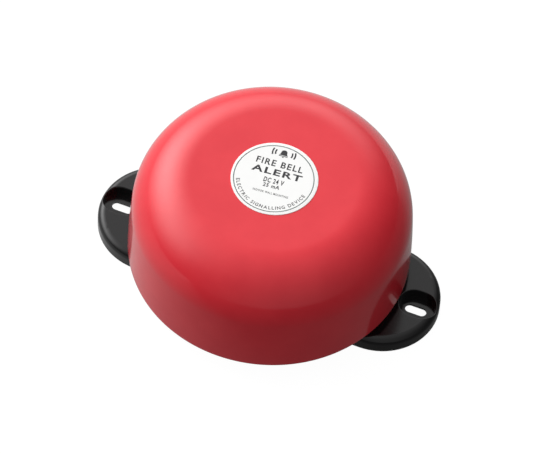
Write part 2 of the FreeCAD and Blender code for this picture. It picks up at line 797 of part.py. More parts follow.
def make_motor_fixed_inside():
    """Magnets, bushes, terminals and brushes, all held by the motor's case."""
    level = motor_can_floor + dim.motor_core_level - dim.magnet_overhang
    magnets = Piece("motor_magnets", y=dim.motor_offset, z=level)
    outer = dim.motor_radius - dim.motor_can_wall - dim.thread_gap
    inner = outer - dim.magnet_thickness
    half_angle = 68
    sector = magnets.drawing().ring_sector(inner, outer, half_angle)
    magnets.pad(sector, dim.core_length + dim.magnet_overhang * 2)
    magnets.mirror("YZ")

    bore = dim.shaft_radius + dim.running_gap
    bush_height = dim.motor_boss_height + dim.motor_can_wall - dim.thread_gap * 2
    ring("motor_bush_front", bore, dim.bush_radius, bush_height,
         y=dim.motor_offset, z=motor_face + dim.motor_boss_height - bush_height)
    ring("motor_bush_rear", bore, dim.bush_radius, dim.motor_cap_height + dim.motor_can_wall,
         y=dim.motor_offset, z=motor_floor)

    terminals = Piece("motor_terminals", y=dim.motor_offset, z=motor_floor)
    sheet = terminal_sheet()
    leg = terminals.drawing(right=terminal_across(), up=-terminal_up(), out=-sheet)
    brush_reach = 2.5
    terminals.pad(leg.rectangle(terminal_width(), sheet), dim.motor_cap_height + sheet + brush_reach)
    tab_length = dim.motor_radius * 0.5
    tab = terminals.drawing(right=terminal_across(), up=-terminal_up() - tab_length / 2, out=-sheet)
    terminals.pad(tab.rectangle(terminal_width(), tab_length + sheet), sheet)
    terminals.mirror("YZ")

    brush_level = dim.commutator_level + 0.6
    brushes = Piece("motor_brushes", y=dim.motor_offset, z=motor_can_floor + brush_level)
    block_width = dim.commutator_radius * 0.9
    block_start = dim.commutator_radius + dim.thread_gap
    block_end = terminal_across() + sheet
    middle = (block_start + block_end) / 2
    block = brushes.drawing(right=middle).rectangle(block_end - block_start, block_width)
    brushes.pad(block, dim.commutator_radius * 0.85)
    spring_start = -terminal_up() + sheet / 2
    spring_end = block_width / 2
    spring_height = block_width * 0.55
    spring = brushes.drawing(right=block_end, out=spring_height / 4)
    spring.rectangle(sheet, spring_end - spring_start, up=(spring_start + spring_end) / 2)
    brushes.pad(spring, spring_height)
    brushes.mirror("YZ")


def make_armature():
    """The turning inside of the motor: shaft, three-pole core, three coils and commutator."""
    end_gap = 0.5
    shaft_floor = motor_floor + end_gap
    shaft_top = hub_level + dim.carrier_hub_height + end_gap
    shaft = Piece("motor_shaft", y=dim.motor_offset, z=shaft_floor)
    length = shaft_top - shaft_floor
    shaft.pad(shaft.drawing().circle(dim.shaft_radius), length)
    shaft.chamfer(shaft.edges_at(length), dim.shaft_radius / 5)
    flat_depth = dim.shaft_radius / 5
    flat = shaft.drawing(out=length)
    flat.rectangle(dim.shaft_radius * 2, flat_depth * 2, up=dim.shaft_radius)
    shaft.pocket(flat, dim.carrier_hub_height)

    bore = dim.shaft_radius + dim.fit_gap
    core_level = motor_can_floor + dim.motor_core_level
    core = Piece("motor_armature", y=dim.motor_offset, z=core_level)
    hub = dim.shaft_radius * 1.7
    neck = dim.shaft_radius
    outer = dim.core_radius
    inner = outer * 0.8
    shoe_half_angle = 50
    shoe_across = cosine(shoe_half_angle)
    shoe_up = sine(shoe_half_angle)
    neck_end = root(inner * inner - neck * neck)
    core.pad(core.drawing().circle(hub), dim.core_length)
    pole = core.pad(core.drawing().outline(
        (dim.shaft_radius, -neck), (neck_end, -neck, -inner),
        (inner * shoe_across, -inner * shoe_up), (outer * shoe_across, -outer * shoe_up, outer),
        (outer * shoe_across, outer * shoe_up), (inner * shoe_across, inner * shoe_up, -inner),
        (neck_end, neck), (dim.shaft_radius, neck),
    ), dim.core_length)
    core.repeat_around([pole], 3)
    core.pocket(core.drawing().circle(bore))

    winding = Piece("armature_winding", y=dim.motor_offset, z=core_level)
    overhang = 0.8
    coil_start = hub + 0.5
    coil_width = dim.core_radius * 0.88
    coil_end = root(inner * inner - coil_width * coil_width / 4) - dim.overlap * 2
    coil = winding.drawing("YZ", up=dim.core_length / 2, out=coil_start)
    coil.rectangle(coil_width, dim.core_length + overhang * 2)
    coil.rectangle(neck * 2 + dim.thread_gap * 2, dim.core_length + dim.thread_gap * 2)
    coils = winding.pad(coil, coil_end - coil_start)
    winding.repeat_around([coils], 3)

    commutator = Piece("commutator", y=dim.motor_offset, z=motor_can_floor + dim.commutator_level)
    commutator.pad(commutator.drawing().circle(dim.commutator_radius), dim.commutator_height)
    commutator.pocket(commutator.drawing().circle(bore))
    gap = commutator.drawing(right=dim.commutator_radius, out=dim.commutator_height)
    gap_width = 0.3
    gaps = commutator.pocket(gap.rectangle(gap_width * 4, gap_width), dim.commutator_height * 0.85)
    commutator.repeat_around([gaps], 3)


# ---------------------------------------------------------------- striker

def make_carrier():
    """The carrier on the motor's shaft: a hub and a bar with a pin hole and two stops per hammer."""
    piece = Piece("striker_carrier", y=dim.motor_offset, z=hub_level)
    bar_level = carrier_level - hub_level
    bar_top = bar_level + dim.carrier_sheet
    bar_length = dim.carrier_reach * 2 + dim.carrier_width
    piece.pad(piece.drawing().circle(dim.carrier_hub_radius), dim.carrier_hub_height)
    piece.chamfer(piece.edges_at(dim.carrier_hub_height), dim.carrier_hub_radius / 10)
    bar = piece.drawing(out=bar_level).obround(bar_length, dim.carrier_width)
    piece.pad(bar, dim.carrier_sheet)

    # Each stop touches the side of the hammer's arm, so it stands off to one side of the arm's line
    side = dim.hammer_width / 2 + dim.hammer_stop_radius + dim.thread_gap
    off_angle = math.degrees(math.asin(side.value / dim.hammer_stop_offset.value))
    folded = as_size(-off_angle) - dim.hammer_fold
    opened = as_size(off_angle)
    stops = piece.drawing(out=bar_top)
    for sign in (1, -1):
        for angle in (folded, opened):
            right = sign * (dim.carrier_reach + dim.hammer_stop_offset * cosine(angle))
            up = sign * (dim.hammer_stop_offset * sine(angle))
            stops.circle(dim.hammer_stop_radius, right, up)
    piece.pad(stops, dim.hammer_sheet + dim.hammer_side_gap)
    holes = piece.drawing().circle(dim.shaft_radius + dim.fit_gap)
    for sign in (1, -1):
        holes.circle(dim.small_thread + dim.fit_gap, sign * dim.carrier_reach)
    piece.pocket(holes)
    set_screw_level = (bar_top + dim.carrier_hub_height) / 2
    thread = dim.motor_thread
    tapped = piece.drawing("XZ", up=set_screw_level).circle(thread + dim.thread_gap)
    piece.pocket(tapped, dim.carrier_hub_radius + dim.overlap)

    grub = Piece("carrier_set_screw", y=dim.motor_offset, z=hub_level + set_screw_level)
    grub_start = dim.shaft_radius * 0.8
    grub_length = dim.carrier_hub_radius - grub_start - dim.overlap * 2
    start = grub.drawing("XZ", out=-grub_start).circle(thread)
    grub.pad(start, grub_length, downward=True)
    socket = grub.drawing("XZ", out=-grub_start - grub_length).hexagon(thread)
    grub.pocket(socket, grub_length * 0.4, upward=True)


def make_hammer_pins():
    """One headed pin per hammer, with a spring clip in its groove."""
    pins = Piece("hammer_pins", y=dim.motor_offset, z=carrier_level)
    radius = dim.small_thread
    head = radius * 0.6
    clip_sheet = 0.5
    clip_slack = 0.05
    tip = 0.3
    groove_floor = dim.carrier_sheet + dim.hammer_sheet + dim.hammer_side_gap * 2.5
    groove_top = groove_floor + clip_sheet + clip_slack * 2
    top = groove_top + 0.8
    neck = radius * 0.8
    pins.revolve(pins.drawing("XZ", right=dim.carrier_reach).outline(
        (0, -head), (radius * 1.7, -head), (radius * 1.7, 0), (radius, 0),
        (radius, groove_floor), (neck, groove_floor), (neck, groove_top), (radius, groove_top),
        (radius, top - tip), (radius - tip, top), (0, top),
    ))
    pins.mirror("YZ")

    clips = Piece("pin_clips", y=dim.motor_offset, z=carrier_level + groove_floor + clip_slack)
    clip_radius = radius * 2.1
    clip = clips.drawing(right=dim.carrier_reach).circle(clip_radius).circle(neck + dim.fit_gap)
    clips.pad(clip, clip_sheet)
    mouth = clips.drawing(right=dim.carrier_reach + clip_radius, out=clip_sheet)
    clips.pocket(mouth.rectangle(clip_radius * 2, neck * 1.7), clip_sheet)
    clips.mirror("YZ")


def make_hammer(side, direction):
    """A pressed arm on its pin, and the turned head staked to the arm's end."""
    pivot = direction * dim.carrier_reach
    turn = (0 if direction > 0 else 180) - dim.hammer_fold
    arm = Piece("hammer_arm_" + side, pivot, dim.motor_offset, hammer_level, turn)
    half = dim.hammer_width / 2
    arm.pad(arm.drawing().circle(dim.hammer_eye), dim.hammer_sheet)
    arm.pad(arm.drawing().circle(dim.hammer_eye, head_offset), dim.hammer_sheet)
    arm.pad(arm.drawing().outline((0, -half), (head_offset, -half), (head_offset, half), (0, half)),
            dim.hammer_sheet)
    stake = dim.hammer_head_radius / 2
    holes = arm.drawing().circle(dim.small_thread + dim.running_gap + dim.fit_gap)
    arm.pocket(holes.circle(stake + dim.fit_gap, head_offset))

    head = Piece("hammer_head_" + side, pivot, dim.motor_offset, hammer_level, turn)
    radius = dim.hammer_head_radius
    bevel = radius * 0.15
    crown = dim.hammer_sheet + radius * 0.175
    head.revolve(head.drawing("XZ", right=head_offset).outline(
        (0, -dim.hammer_head_height), (radius - bevel, -dim.hammer_head_height),
        (radius, bevel - dim.hammer_head_height), (radius, 0), (stake, 0),
        (stake, dim.hammer_sheet), (stake * 1.4, dim.hammer_sheet), (stake * 1.1, crown), (0, crown),
    ))


# ---------------------------------------------------------------- circuit board and wiring

def make_board():
    board = Piece("circuit_board", y=-dim.board_offset, z=board_level)
    board.pad(board.drawing().rectangle(dim.board_length, dim.board_width), dim.board_thickness)
    corners = board.edges(lambda box: abs(box.ZMax - box.ZMin - dim.board_thickness.value) < same_place)
    board.fillet(corners, dim.board_edge_gap / 2)
    holes = board.drawing()
    for across in (1, -1):
        for up in (1, -1):
            holes.circle(small_hole, across * board_hole_across, up * board_hole_up)
    board.pocket(holes)

    spacers = Piece("board_spacers", y=-dim.board_offset, z=plate_level)
    tube = spacers.drawing(right=board_hole_across, up=board_hole_up)
    spacers.pad(tube.circle(dim.small_thread * 2).circle(small_hole), dim.spacer_height)
    spacers.mirror("YZ", "XZ")

    screw_length = board_top - dim.deck_level
    four_screws("board_screws", -dim.board_offset, board_top, dim.small_thread, screw_length,
                board_hole_across, board_hole_up)


def make_board_parts():
    """The suppression parts: a capacitor, a diode and a resistor."""
    capacitor = Piece("capacitor", dim.capacitor_across, -dim.board_offset, board_top)
    radius = dim.board_width / 8
    height = radius * 3
    bead = radius * 0.1
    capacitor.revolve(capacitor.drawing("XZ").outline(
        (0, 0), (radius, 0), (radius, bead * 3), (radius - bead, bead * 4), (radius, bead * 5),
        (radius, height - bead), (radius - bead, height), (radius * 0.8, height),
        (radius * 0.75, height - bead), (0, height - bead),
    ))
    across = -dim.small_parts_across
    axial_part("diode", across, 6 - dim.board_offset, radius=1.36, length=5.2, pitch=10)
    axial_part("resistor", across, -4 - dim.board_offset, radius=1.2, length=6.4, pitch=11)


def axial_part(label, x, y, radius, length, pitch):
    """A small round component lying on the board, with an upright lead at each end."""
    radius = as_size(radius)
    wire = radius * 0.25
    leg_radius = wire * 1.3
    lift = radius * 1.2
    shoulder = radius * 0.2
    half_pitch = as_size(pitch) / 2
    half_length = as_size(length) / 2
    piece = Piece(label, x, y, board_top)
    piece.revolve(piece.drawing("XZ", up=lift).outline(
        (-half_pitch, 0), (half_pitch, 0), (half_pitch, wire), (half_length, wire),
        (half_length, radius - shoulder), (half_length - shoulder, radius),
        (shoulder - half_length, radius), (-half_length, radius - shoulder),
        (-half_length, wire), (-half_pitch, wire),
    ), axis="H_Axis")
    for sign in (1, -1):
        leg = piece.drawing(right=sign * half_pitch)
        piece.pad(leg.circle(leg_radius), lift + leg_radius)


def make_terminal_block():
    """Two screw terminals in a moulded block; a brass clamp and a screw stand in each well."""
    across = dim.terminal_pitch / 2
    width = dim.terminal_width
    height = dim.terminal_height
    wall = 0.9
    well_width = dim.terminal_pitch - wall + dim.overlap
    well_floor = 2.0
    wire_mouth = 1.4
    block = Piece("terminal_block", 0, terminal_centre, board_top)
    block.pad(block.drawing().rectangle(dim.terminal_pitch * 2 + wall / 2, width), height)
    wells = block.drawing(out=height)
    mouths = block.drawing("XZ", up=dim.wire_level, out=width / 2)
    for sign in (1, -1):
        wells.rectangle(well_width, width - wall * 2, sign * across)
        mouths.circle(wire_mouth, sign * across)
    block.pocket(wells, height - well_floor)
    block.pocket(mouths, wall * 1.6)

    clamp_width = well_width - dim.overlap * 2
    clamp_length = width - wall * 2 - dim.overlap * 2
    clamp_height = 5.2
    wire_hole = 1.2
    clamps = Piece("terminal_clamps", 0, terminal_centre, board_top + well_floor)
    clamps.pad(clamps.drawing(right=across).rectangle(clamp_width, clamp_length), clamp_height)
    clamps.pocket(clamps.drawing("XZ", right=across, up=dim.wire_level - well_floor).circle(wire_hole))
    thread = dim.motor_thread
    top_hole = clamps.drawing(right=across, out=clamp_height).circle(thread + dim.thread_gap)
    clamps.pocket(top_hole, clamp_height - dim.wire_level + well_floor)
    clamps.mirror("YZ")

    screw_length = 2.2
    head_level = board_top + well_floor + clamp_height + dim.clear_gap
    screws = Piece("terminal_screws", 0, terminal_centre, head_level)
    screw(screws, thread * 0.8, screw_length, across, cross=False)
    screws.mirror("YZ")


def make_grommet():
    """A rubber sleeve that grips the deck's edge and lines the hole for the supply leads."""
    flange = 1.6
    piece = Piece("cable_grommet", y=-dim.grommet_offset, z=cavity_roof - flange)
    groove_radius = dim.grommet_radius - dim.fit_gap
    flange_radius = dim.grommet_radius + 1.5
    hole = dim.grommet_radius * 0.7
    low = flange - dim.fit_gap
    high = flange + deck_thickness + dim.fit_gap
    top = high + flange
    round_off = 0.4
    piece.revolve(piece.drawing("XZ").outline(
        (hole, 0), (flange_radius - round_off, 0), (flange_radius, round_off), (flange_radius, low),
        (groove_radius, low), (groove_radius, high), (flange_radius, high),
        (flange_radius, top - round_off), (flange_radius - round_off, top), (hole, top),
    ))


def rounded_path(points, bend):
    """A wire through the points, with an arc of the bend's radius in place of each inner corner."""
    edges = []
    start = points[0]
    for before, corner, after in zip(points, points[1:], points[2:]):
        incoming = (corner - before).normalize()
        outgoing = (after - corner).normalize()
        half_turn = incoming.getAngle(outgoing) / 2
        trim = bend * math.tan(half_turn)
        arc_start = corner - incoming * trim
        arc_end = corner + outgoing * trim
        towards_centre = (outgoing - incoming).normalize()
        arc_middle = corner + towards_centre * (bend / math.cos(half_turn) - bend)
        edges.append(Part.LineSegment(start, arc_start).toShape())
        edges.append(Part.Arc(arc_start, arc_middle, arc_end).toShape())
        start = arc_end
    edges.append(Part.LineSegment(start, points[-1]).toShape())
    return Part.Wire(edges)


def lead(label, points, x, y, z):
    """A round insulated lead swept along a path with rounded corners, placed at its first point."""
    radius = dim.lead_radius.value
    vectors = [FreeCAD.Vector(*[as_size(value).value for value in point]) for point in points]
    path = rounded_path(vectors, dim.lead_bend.value)
    direction = (vectors[1] - vectors[0]).normalize()
    section = Part.Wire(Part.Circle(vectors[0], direction, radius).toShape())
    item = document.addObject("Part::Feature", label)
    item.Label = label
    item.Shape = path.makePipeShell([section], True, True)
    for axis, distance in zip("xyz", (x, y, z)):
        bind(item, f"Placement.Base.{axis}", distance)
    sub_parts.append(item)


def make_supply_leads():
    """From the terminal block through the grommet into the cavity behind the deck."""
    clamp_across = dim.terminal_pitch / 2
    grommet_across = dim.lead_radius * 1.55
    from_clamp_middle = 1.0
    start_y = terminal_centre - from_clamp_middle
    start_z = board_top + dim.wire_level
    down = start_y + dim.grommet_offset
    below_boss = 1.2
    deep = start_z - boss_foot - below_boss
    spread_at = 12
    tail = 15
    tail_up = 2.6
    for sign, colour in ((1, "red"), (-1, "black")):
        inward = sign * (grommet_across - clamp_across)
        lead("supply_lead_" + colour, [
            (0, 0, 0),
            (0, -down, 0),
            (inward, -down, -spread_at),
            (inward, -down, -deep),
            (sign * (tail - clamp_across), tail_up - down, -deep),
        ], sign * clamp_across, start_y, start_z)

    tips = Piece("supply_lead_tips", y=-dim.grommet_offset, z=start_z - deep)
    tip_turn = math.degrees(math.atan2(tail_up, tail - grommet_across.value))
    tip = tips.drawing("YZ", right=tail_up, out=tail).circle(dim.lead_radius * 0.6)
    tip.sketch.AttachmentOffset = FreeCAD.Placement(
        tip.sketch.AttachmentOffset.Base, FreeCAD.Rotation(FreeCAD.Vector(0, 1, 0), tip_turn))
    tips.pad(tip, dim.lead_radius * 6)
    tips.mirror("YZ")


def make_motor_leads():
    """From the board, past the pillar, to the tabs under the motor's end cap."""
    from_board_edge = 3.5
    start_across = dim.pillar_flats * 0.8
    start_y = dim.board_width / 2 - dim.board_offset - from_board_edge
    rise = 4.5
    past_pillar = dim.pillar_flats - start_y + 1
    tab_run = 6
    tab_y = dim.motor_offset - terminal_up() - dim.motor_radius * 0.4
    tab_level = motor_floor + dim.lead_radius + dim.fit_gap
    for sign, colour in ((1, "red"), (-1, "black")):
        shift = sign * (terminal_across() - start_across)
        lead("motor_lead_" + colour, [
            (0, 0, 0),
            (0, 0, rise),
            (0, past_pillar, rise),
            (shift, tab_y - start_y - tab_run, tab_level - board_top),
            (shift, tab_y - start_y, tab_level - board_top),
        ], sign * start_across, start_y, board_top)


# ---------------------------------------------------------------- build, check and write

def check_document():
    """Stops when any object failed or any sub-part has no valid solid."""
    document.recompute()
    for item in document.Objects:
        if "Invalid" in item.State or "Error" in item.State:
            raise RuntimeError(f"{item.Label} failed: {item.State}")
    for part in sub_parts:
        if part.Shape.isNull() or not part.Shape.isValid() or not part.Shape.Solids:
            raise RuntimeError(f"{part.Label} has no valid solid")


def write_parts():
    os.makedirs("parts", exist_ok=True)
    for part in sub_parts:
        part.Shape.exportStep(os.path.join("parts", part.Label + ".step"))


make_gong()
make_gong_label()
make_gong_clamp()
make_base()
make_chassis()
make_motor_bracket()
make_motor_case()
make_motor_fixed_inside()
make_armature()
make_carrier()
make_hammer_pins()
make_hammer("a", 1)
make_hammer("b", -1)
make_board()
make_board_parts()
make_terminal_block()
make_grommet()
make_supply_leads()
make_motor_leads()
check_document()
write_parts()
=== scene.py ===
import math

import bmesh
import bpy
from mathutils import Matrix, Vector


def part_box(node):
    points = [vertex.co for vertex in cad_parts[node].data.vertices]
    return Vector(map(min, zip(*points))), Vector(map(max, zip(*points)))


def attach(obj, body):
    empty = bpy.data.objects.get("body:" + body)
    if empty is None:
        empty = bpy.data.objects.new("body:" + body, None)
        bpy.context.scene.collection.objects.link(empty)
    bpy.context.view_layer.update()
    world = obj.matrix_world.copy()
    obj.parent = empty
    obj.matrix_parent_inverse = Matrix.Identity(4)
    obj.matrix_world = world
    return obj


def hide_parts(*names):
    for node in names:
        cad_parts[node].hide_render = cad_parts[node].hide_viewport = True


# The looks of a 24 V motor bell: a red enamelled gong over a glossy black base with two ears.
# Metres, in the CAD frame: +Z is the gong's axis and X runs through the ears.

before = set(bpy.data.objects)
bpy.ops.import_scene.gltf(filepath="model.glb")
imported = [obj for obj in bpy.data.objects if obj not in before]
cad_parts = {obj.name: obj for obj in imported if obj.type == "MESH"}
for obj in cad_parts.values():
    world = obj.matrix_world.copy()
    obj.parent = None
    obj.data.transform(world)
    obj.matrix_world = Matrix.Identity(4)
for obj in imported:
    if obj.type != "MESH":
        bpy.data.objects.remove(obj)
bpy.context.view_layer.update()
MM = 0.001
SAME_PLACE = 0.001 * MM
SHARP_ANGLE = math.radians(32)


# ---------------------------------------------------------------- materials

ONE_BAND = 0.314  # the scale at which a wave texture has one band to each unit


class Finish:
    """A procedural material: one Principled shader and the nodes that feed it."""

    def __init__(self, name, **shader_values):
        self.material = bpy.data.materials.new(name)
        self.material.use_nodes = True
        self.tree = self.material.node_tree
        self.shader = self.tree.nodes["Principled BSDF"]
        self.coordinates = self.node("TexCoord").outputs["Object"]
        self.normal = None
        for socket, value in shader_values.items():
            self.shader.inputs[socket.replace("_", " ")].default_value = value

    def node(self, kind, **settings):
        made = self.tree.nodes.new("ShaderNode" + kind)
        for setting, value in settings.items():
            setattr(made, setting, value)
        return made

    def feed(self, socket, value):
        """Links another node's output to a socket, or sets the socket to a plain value."""
        if isinstance(value, bpy.types.NodeSocket):
            self.tree.links.new(value, socket)
        else:
            socket.default_value = value

    def placed(self, grain, stretch):
        """The object's coordinates, scaled so that one unit is one grain."""
        mapping = self.node("Mapping")
        mapping.inputs["Scale"].default_value = [share / grain for share in stretch]
        self.feed(mapping.inputs["Vector"], self.coordinates)
        return mapping.outputs["Vector"]

    def noise(self, grain, detail=3.0, stretch=(1, 1, 1)):
        """Cloudy noise from 0 to 1, in blobs about one grain across."""
        texture = self.node("TexNoise")
        texture.inputs["Scale"].default_value = 1.0
        texture.inputs["Detail"].default_value = detail
        self.feed(texture.inputs["Vector"], self.placed(grain, stretch))
        return texture.outputs["Fac"]

    def cells(self, grain):
        """Distance to the nearest of many scattered points, in grains."""
        texture = self.node("TexVoronoi")
        texture.inputs["Scale"].default_value = 1.0
        self.feed(texture.inputs["Vector"], self.placed(grain, (1, 1, 1)))
        return texture.outputs["Distance"]

    def spread(self, value, low, high, to_low=0.0, to_high=1.0):
        """Stretches a value from one range to another, and stops at its ends."""
        ranged = self.node("MapRange")
        for socket, number in zip(ranged.inputs, (value, low, high, to_low, to_high)):
            self.feed(socket, number)
        return ranged.outputs["Result"]

    def sum(self, kind, first, second=0.0):
        result = self.node("Math", operation=kind)
        self.feed(result.inputs[0], first)
        self.feed(result.inputs[1], second)
        return result.outputs["Value"]

    def mixed(self, share, first, second):
        """One colour turning into another."""
        mix = self.node("Mix", data_type="RGBA")
        self.feed(mix.inputs["Factor"], share)
        colour_sockets = [socket for socket in mix.inputs if socket.type == "RGBA"]
        for socket, colour in zip(colour_sockets, (first, second)):
            self.feed(socket, colour if isinstance(colour, bpy.types.NodeSocket) else (*colour, 1.0))
        return next(output for output in mix.outputs if output.type == "RGBA")

    def bump(self, height, depth):
        """Adds relief: a height from 0 to 1 stands for that depth in metres."""
        relief = self.node("Bump")
        relief.inputs["Strength"].default_value = 1.0
        relief.inputs["Distance"].default_value = depth
        self.feed(relief.inputs["Height"], height)
        if self.normal is not None:
            self.feed(relief.inputs["Normal"], self.normal)
        self.normal = relief.outputs["Normal"]

    def edges(self, width):
        """About 1 on outside edges narrower than the width, and 0 on open faces."""
        rounded = self.node("Bevel", samples=4)
        rounded.inputs["Radius"].default_value = width
        turn = self.node("VectorMath", operation="DOT_PRODUCT")
        self.feed(turn.inputs[0], rounded.outputs["Normal"])
        self.feed(turn.inputs[1], self.node("NewGeometry").outputs["Normal"])
        return self.spread(turn.outputs["Value"], 0.995, 0.90)

    def scratches(self, grain, stretch, share):
        """Thin wandering lines: about 1 on a line and 0 between them."""
        lines = self.noise(grain, 2.0, stretch)
        away = self.sum("ABSOLUTE", self.sum("SUBTRACT", lines, 0.5))
        return self.spread(away, 0.0, share, 1.0, 0.0)

    def done(self, colour, roughness):
        self.feed(self.shader.inputs["Base Color"],
                  colour if isinstance(colour, bpy.types.NodeSocket) else (*colour, 1.0))
        self.feed(self.shader.inputs["Roughness"], roughness)
        if self.normal is not None:
            self.feed(self.shader.inputs["Normal"], self.normal)
            self.feed(self.shader.inputs["Coat Normal"], self.normal)
        return self.material


def red_enamel():
    """Baked enamel on pressed steel: a soft orange peel under a clear gloss, a few fine rubs."""
    finish = Finish("red_enamel", Coat_Weight=1.0, Coat_Roughness=0.1, Coat_IOR=1.5, Specular_IOR_Level=0.1)
    tone = finish.noise(18 * MM, 3.0)
    rubs = finish.scratches(9 * MM, (1, 6, 1), 0.004)
    colour = finish.mixed(finish.spread(tone, 0.35, 0.65), (0.79, 0.020, 0.036), (0.83, 0.026, 0.042))
    colour = finish.mixed(finish.sum("MULTIPLY", rubs, 0.05), colour, (0.88, 0.20, 0.20))
    colour = finish.mixed(finish.sum("MULTIPLY", finish.edges(0.5 * MM), 0.35), colour, (0.35, 0.010, 0.014))
    roughness = finish.spread(finish.noise(30 * MM, 4.0), 0.3, 0.7, 0.36, 0.44)
    finish.bump(finish.noise(2.4 * MM, 2.0), 0.004 * MM)
    finish.bump(finish.noise(0.5 * MM, 2.0), 0.0006 * MM)
    return finish.done(colour, roughness)


def label_foil():
    """White printed foil: satin, with the faintest grain."""
    finish = Finish("label_foil", Coat_Weight=0.4, Coat_Roughness=0.25)
    colour = finish.mixed(finish.noise(6 * MM, 4.0), (0.94, 0.94, 0.93), (0.98, 0.98, 0.97))
    finish.bump(finish.noise(0.35 * MM, 3.0), 0.003 * MM)
    finish.bump(finish.noise(9 * MM, 1.0), 0.02 * MM)
    return finish.done(colour, finish.spread(finish.noise(2 * MM), 0.3, 0.7, 0.42, 0.52))


def ink(name, colour):
    """Screen print: slightly uneven cover."""
    finish = Finish(name)
    lighter = [channel * 1.35 + 0.01 for channel in colour]
    shade = finish.mixed(finish.spread(finish.noise(0.5 * MM, 4.0), 0.35, 0.75), colour, lighter)
    finish.bump(finish.noise(0.2 * MM, 2.0), 0.004 * MM)
    return finish.done(shade, finish.spread(finish.noise(1 * MM), 0.3, 0.7, 0.45, 0.6))


def black_moulding():
    """Glossy moulded plastic: deep black, faint flow marks, hairline scratches and a little dust."""
    finish = Finish("black_moulding", IOR=1.5)
    dust = finish.spread(finish.noise(0.9 * MM, 6.0), 0.66, 0.80)
    hairlines = finish.scratches(6 * MM, (1, 9, 1), 0.006)
    colour = finish.mixed(finish.noise(25 * MM, 3.0), (0.0035, 0.0032, 0.0035), (0.0060, 0.0055, 0.0060))
    colour = finish.mixed(finish.sum("MULTIPLY", dust, 0.06), colour, (0.25, 0.24, 0.23))
    colour = finish.mixed(finish.sum("MULTIPLY", finish.edges(0.4 * MM), 0.05), colour, (0.12, 0.12, 0.12))
    base_roughness = finish.spread(finish.noise(12 * MM, 3.0), 0.3, 0.7, 0.11, 0.16)
    roughness = finish.sum("ADD", base_roughness, finish.sum("MULTIPLY", hairlines, 0.12))
    finish.bump(finish.noise(3.5 * MM, 2.0), 0.004 * MM)
    finish.bump(hairlines, 0.002 * MM)
    return finish.done(colour, roughness)


def zinc_plate():
    """Bright zinc plate: blotchy, faintly blue and straw, with fine brushing."""
    finish = Finish("zinc_plate", Metallic=1.0)
    bloom = finish.noise(5 * MM, 3.0)
    colour = finish.mixed(finish.spread(bloom, 0.35, 0.65), (0.56, 0.58, 0.62), (0.66, 0.65, 0.58))
    colour = finish.mixed(finish.sum("MULTIPLY", finish.edges(0.3 * MM), 0.6), colour, (0.80, 0.80, 0.80))
    brushed = finish.noise(0.25 * MM, 3.0, (0.08, 1, 1))
    finish.bump(brushed, 0.003 * MM)
    return finish.done(colour, finish.spread(finish.noise(1.5 * MM, 5.0), 0.3, 0.7, 0.26, 0.42))


def drawn_steel():
    """The motor's deep-drawn can: satin nickel with vertical draw marks."""
    finish = Finish("drawn_steel", Metallic=1.0)
    marks = finish.noise(0.35 * MM, 3.0, (1, 1, 0.04))
    colour = finish.mixed(finish.noise(8 * MM, 3.0), (0.50, 0.50, 0.50), (0.60, 0.59, 0.57))
    finish.bump(marks, 0.004 * MM)
    return finish.done(colour, finish.spread(marks, 0.3, 0.7, 0.24, 0.38))


def moulded_plastic(name, colour, gloss):
    """Moulded nylon, terminal and sleeve plastic: a fine spark texture and uneven gloss."""
    finish = Finish(name, Subsurface_Weight=0.03)
    paler = [channel * 1.2 + 0.01 for channel in colour]
    shade = finish.mixed(finish.spread(finish.noise(4 * MM, 4.0), 0.3, 0.7), colour, paler)
    worn = [channel * 0.6 + 0.3 for channel in colour]
    shade = finish.mixed(finish.sum("MULTIPLY", finish.edges(0.2 * MM), 0.2), shade, worn)
    finish.bump(finish.noise(0.22 * MM, 3.0), 0.008 * MM)
    return finish.done(shade, finish.spread(finish.noise(1.2 * MM, 3.0), 0.3, 0.7, gloss, gloss + 0.12))


def ferrite():
    """Sintered magnet: dull charcoal, gritty, with small pits."""
    finish = Finish("ferrite")
    colour = finish.mixed(finish.noise(0.8 * MM, 5.0), (0.030, 0.030, 0.033), (0.065, 0.062, 0.062))
    finish.bump(finish.spread(finish.cells(0.5 * MM), 0.0, 0.35), 0.02 * MM)
    return finish.done(colour, finish.spread(finish.noise(0.6 * MM, 4.0), 0.3, 0.7, 0.55, 0.75))


def sintered_bronze():
    """Porous oil-filled bronze."""
    finish = Finish("sintered_bronze", Metallic=1.0)
    pores = finish.spread(finish.cells(0.25 * MM), 0.05, 0.3)
    colour = finish.mixed(pores, (0.18, 0.09, 0.04), (0.55, 0.33, 0.15))
    finish.bump(pores, 0.01 * MM)
    return finish.done(colour, 0.42)


def turned_metal(name, colour, roughness):
    """Turned or stamped bright metal: fine concentric tool marks and a slight tarnish."""
    finish = Finish(name, Metallic=1.0)
    tarnished = [channel * 0.7 for channel in colour]
    shade = finish.mixed(finish.spread(finish.noise(1.6 * MM, 5.0), 0.4, 0.75), colour, tarnished)
    marks = finish.noise(0.18 * MM, 2.0, (0.15, 0.15, 1))
    finish.bump(marks, 0.003 * MM)
    return finish.done(shade, finish.spread(marks, 0.25, 0.75, roughness, roughness + 0.14))


def core_steel():
    """A stack of stamped laminations, seen as thin dark lines along the edge."""
    finish = Finish("core_steel", Metallic=1.0)
    wave = finish.node("TexWave", bands_direction="Z")
    wave.inputs["Scale"].default_value = ONE_BAND
    finish.feed(wave.inputs["Vector"], finish.placed(0.5 * MM, (1, 1, 1)))
    sheets = finish.spread(wave.outputs["Fac"], 0.1, 0.5)
    colour = finish.mixed(sheets, (0.10, 0.09, 0.09), (0.42, 0.41, 0.40))
    finish.bump(sheets, 0.02 * MM)
    return finish.done(colour, finish.spread(finish.noise(1 * MM, 4.0), 0.3, 0.7, 0.35, 0.5))


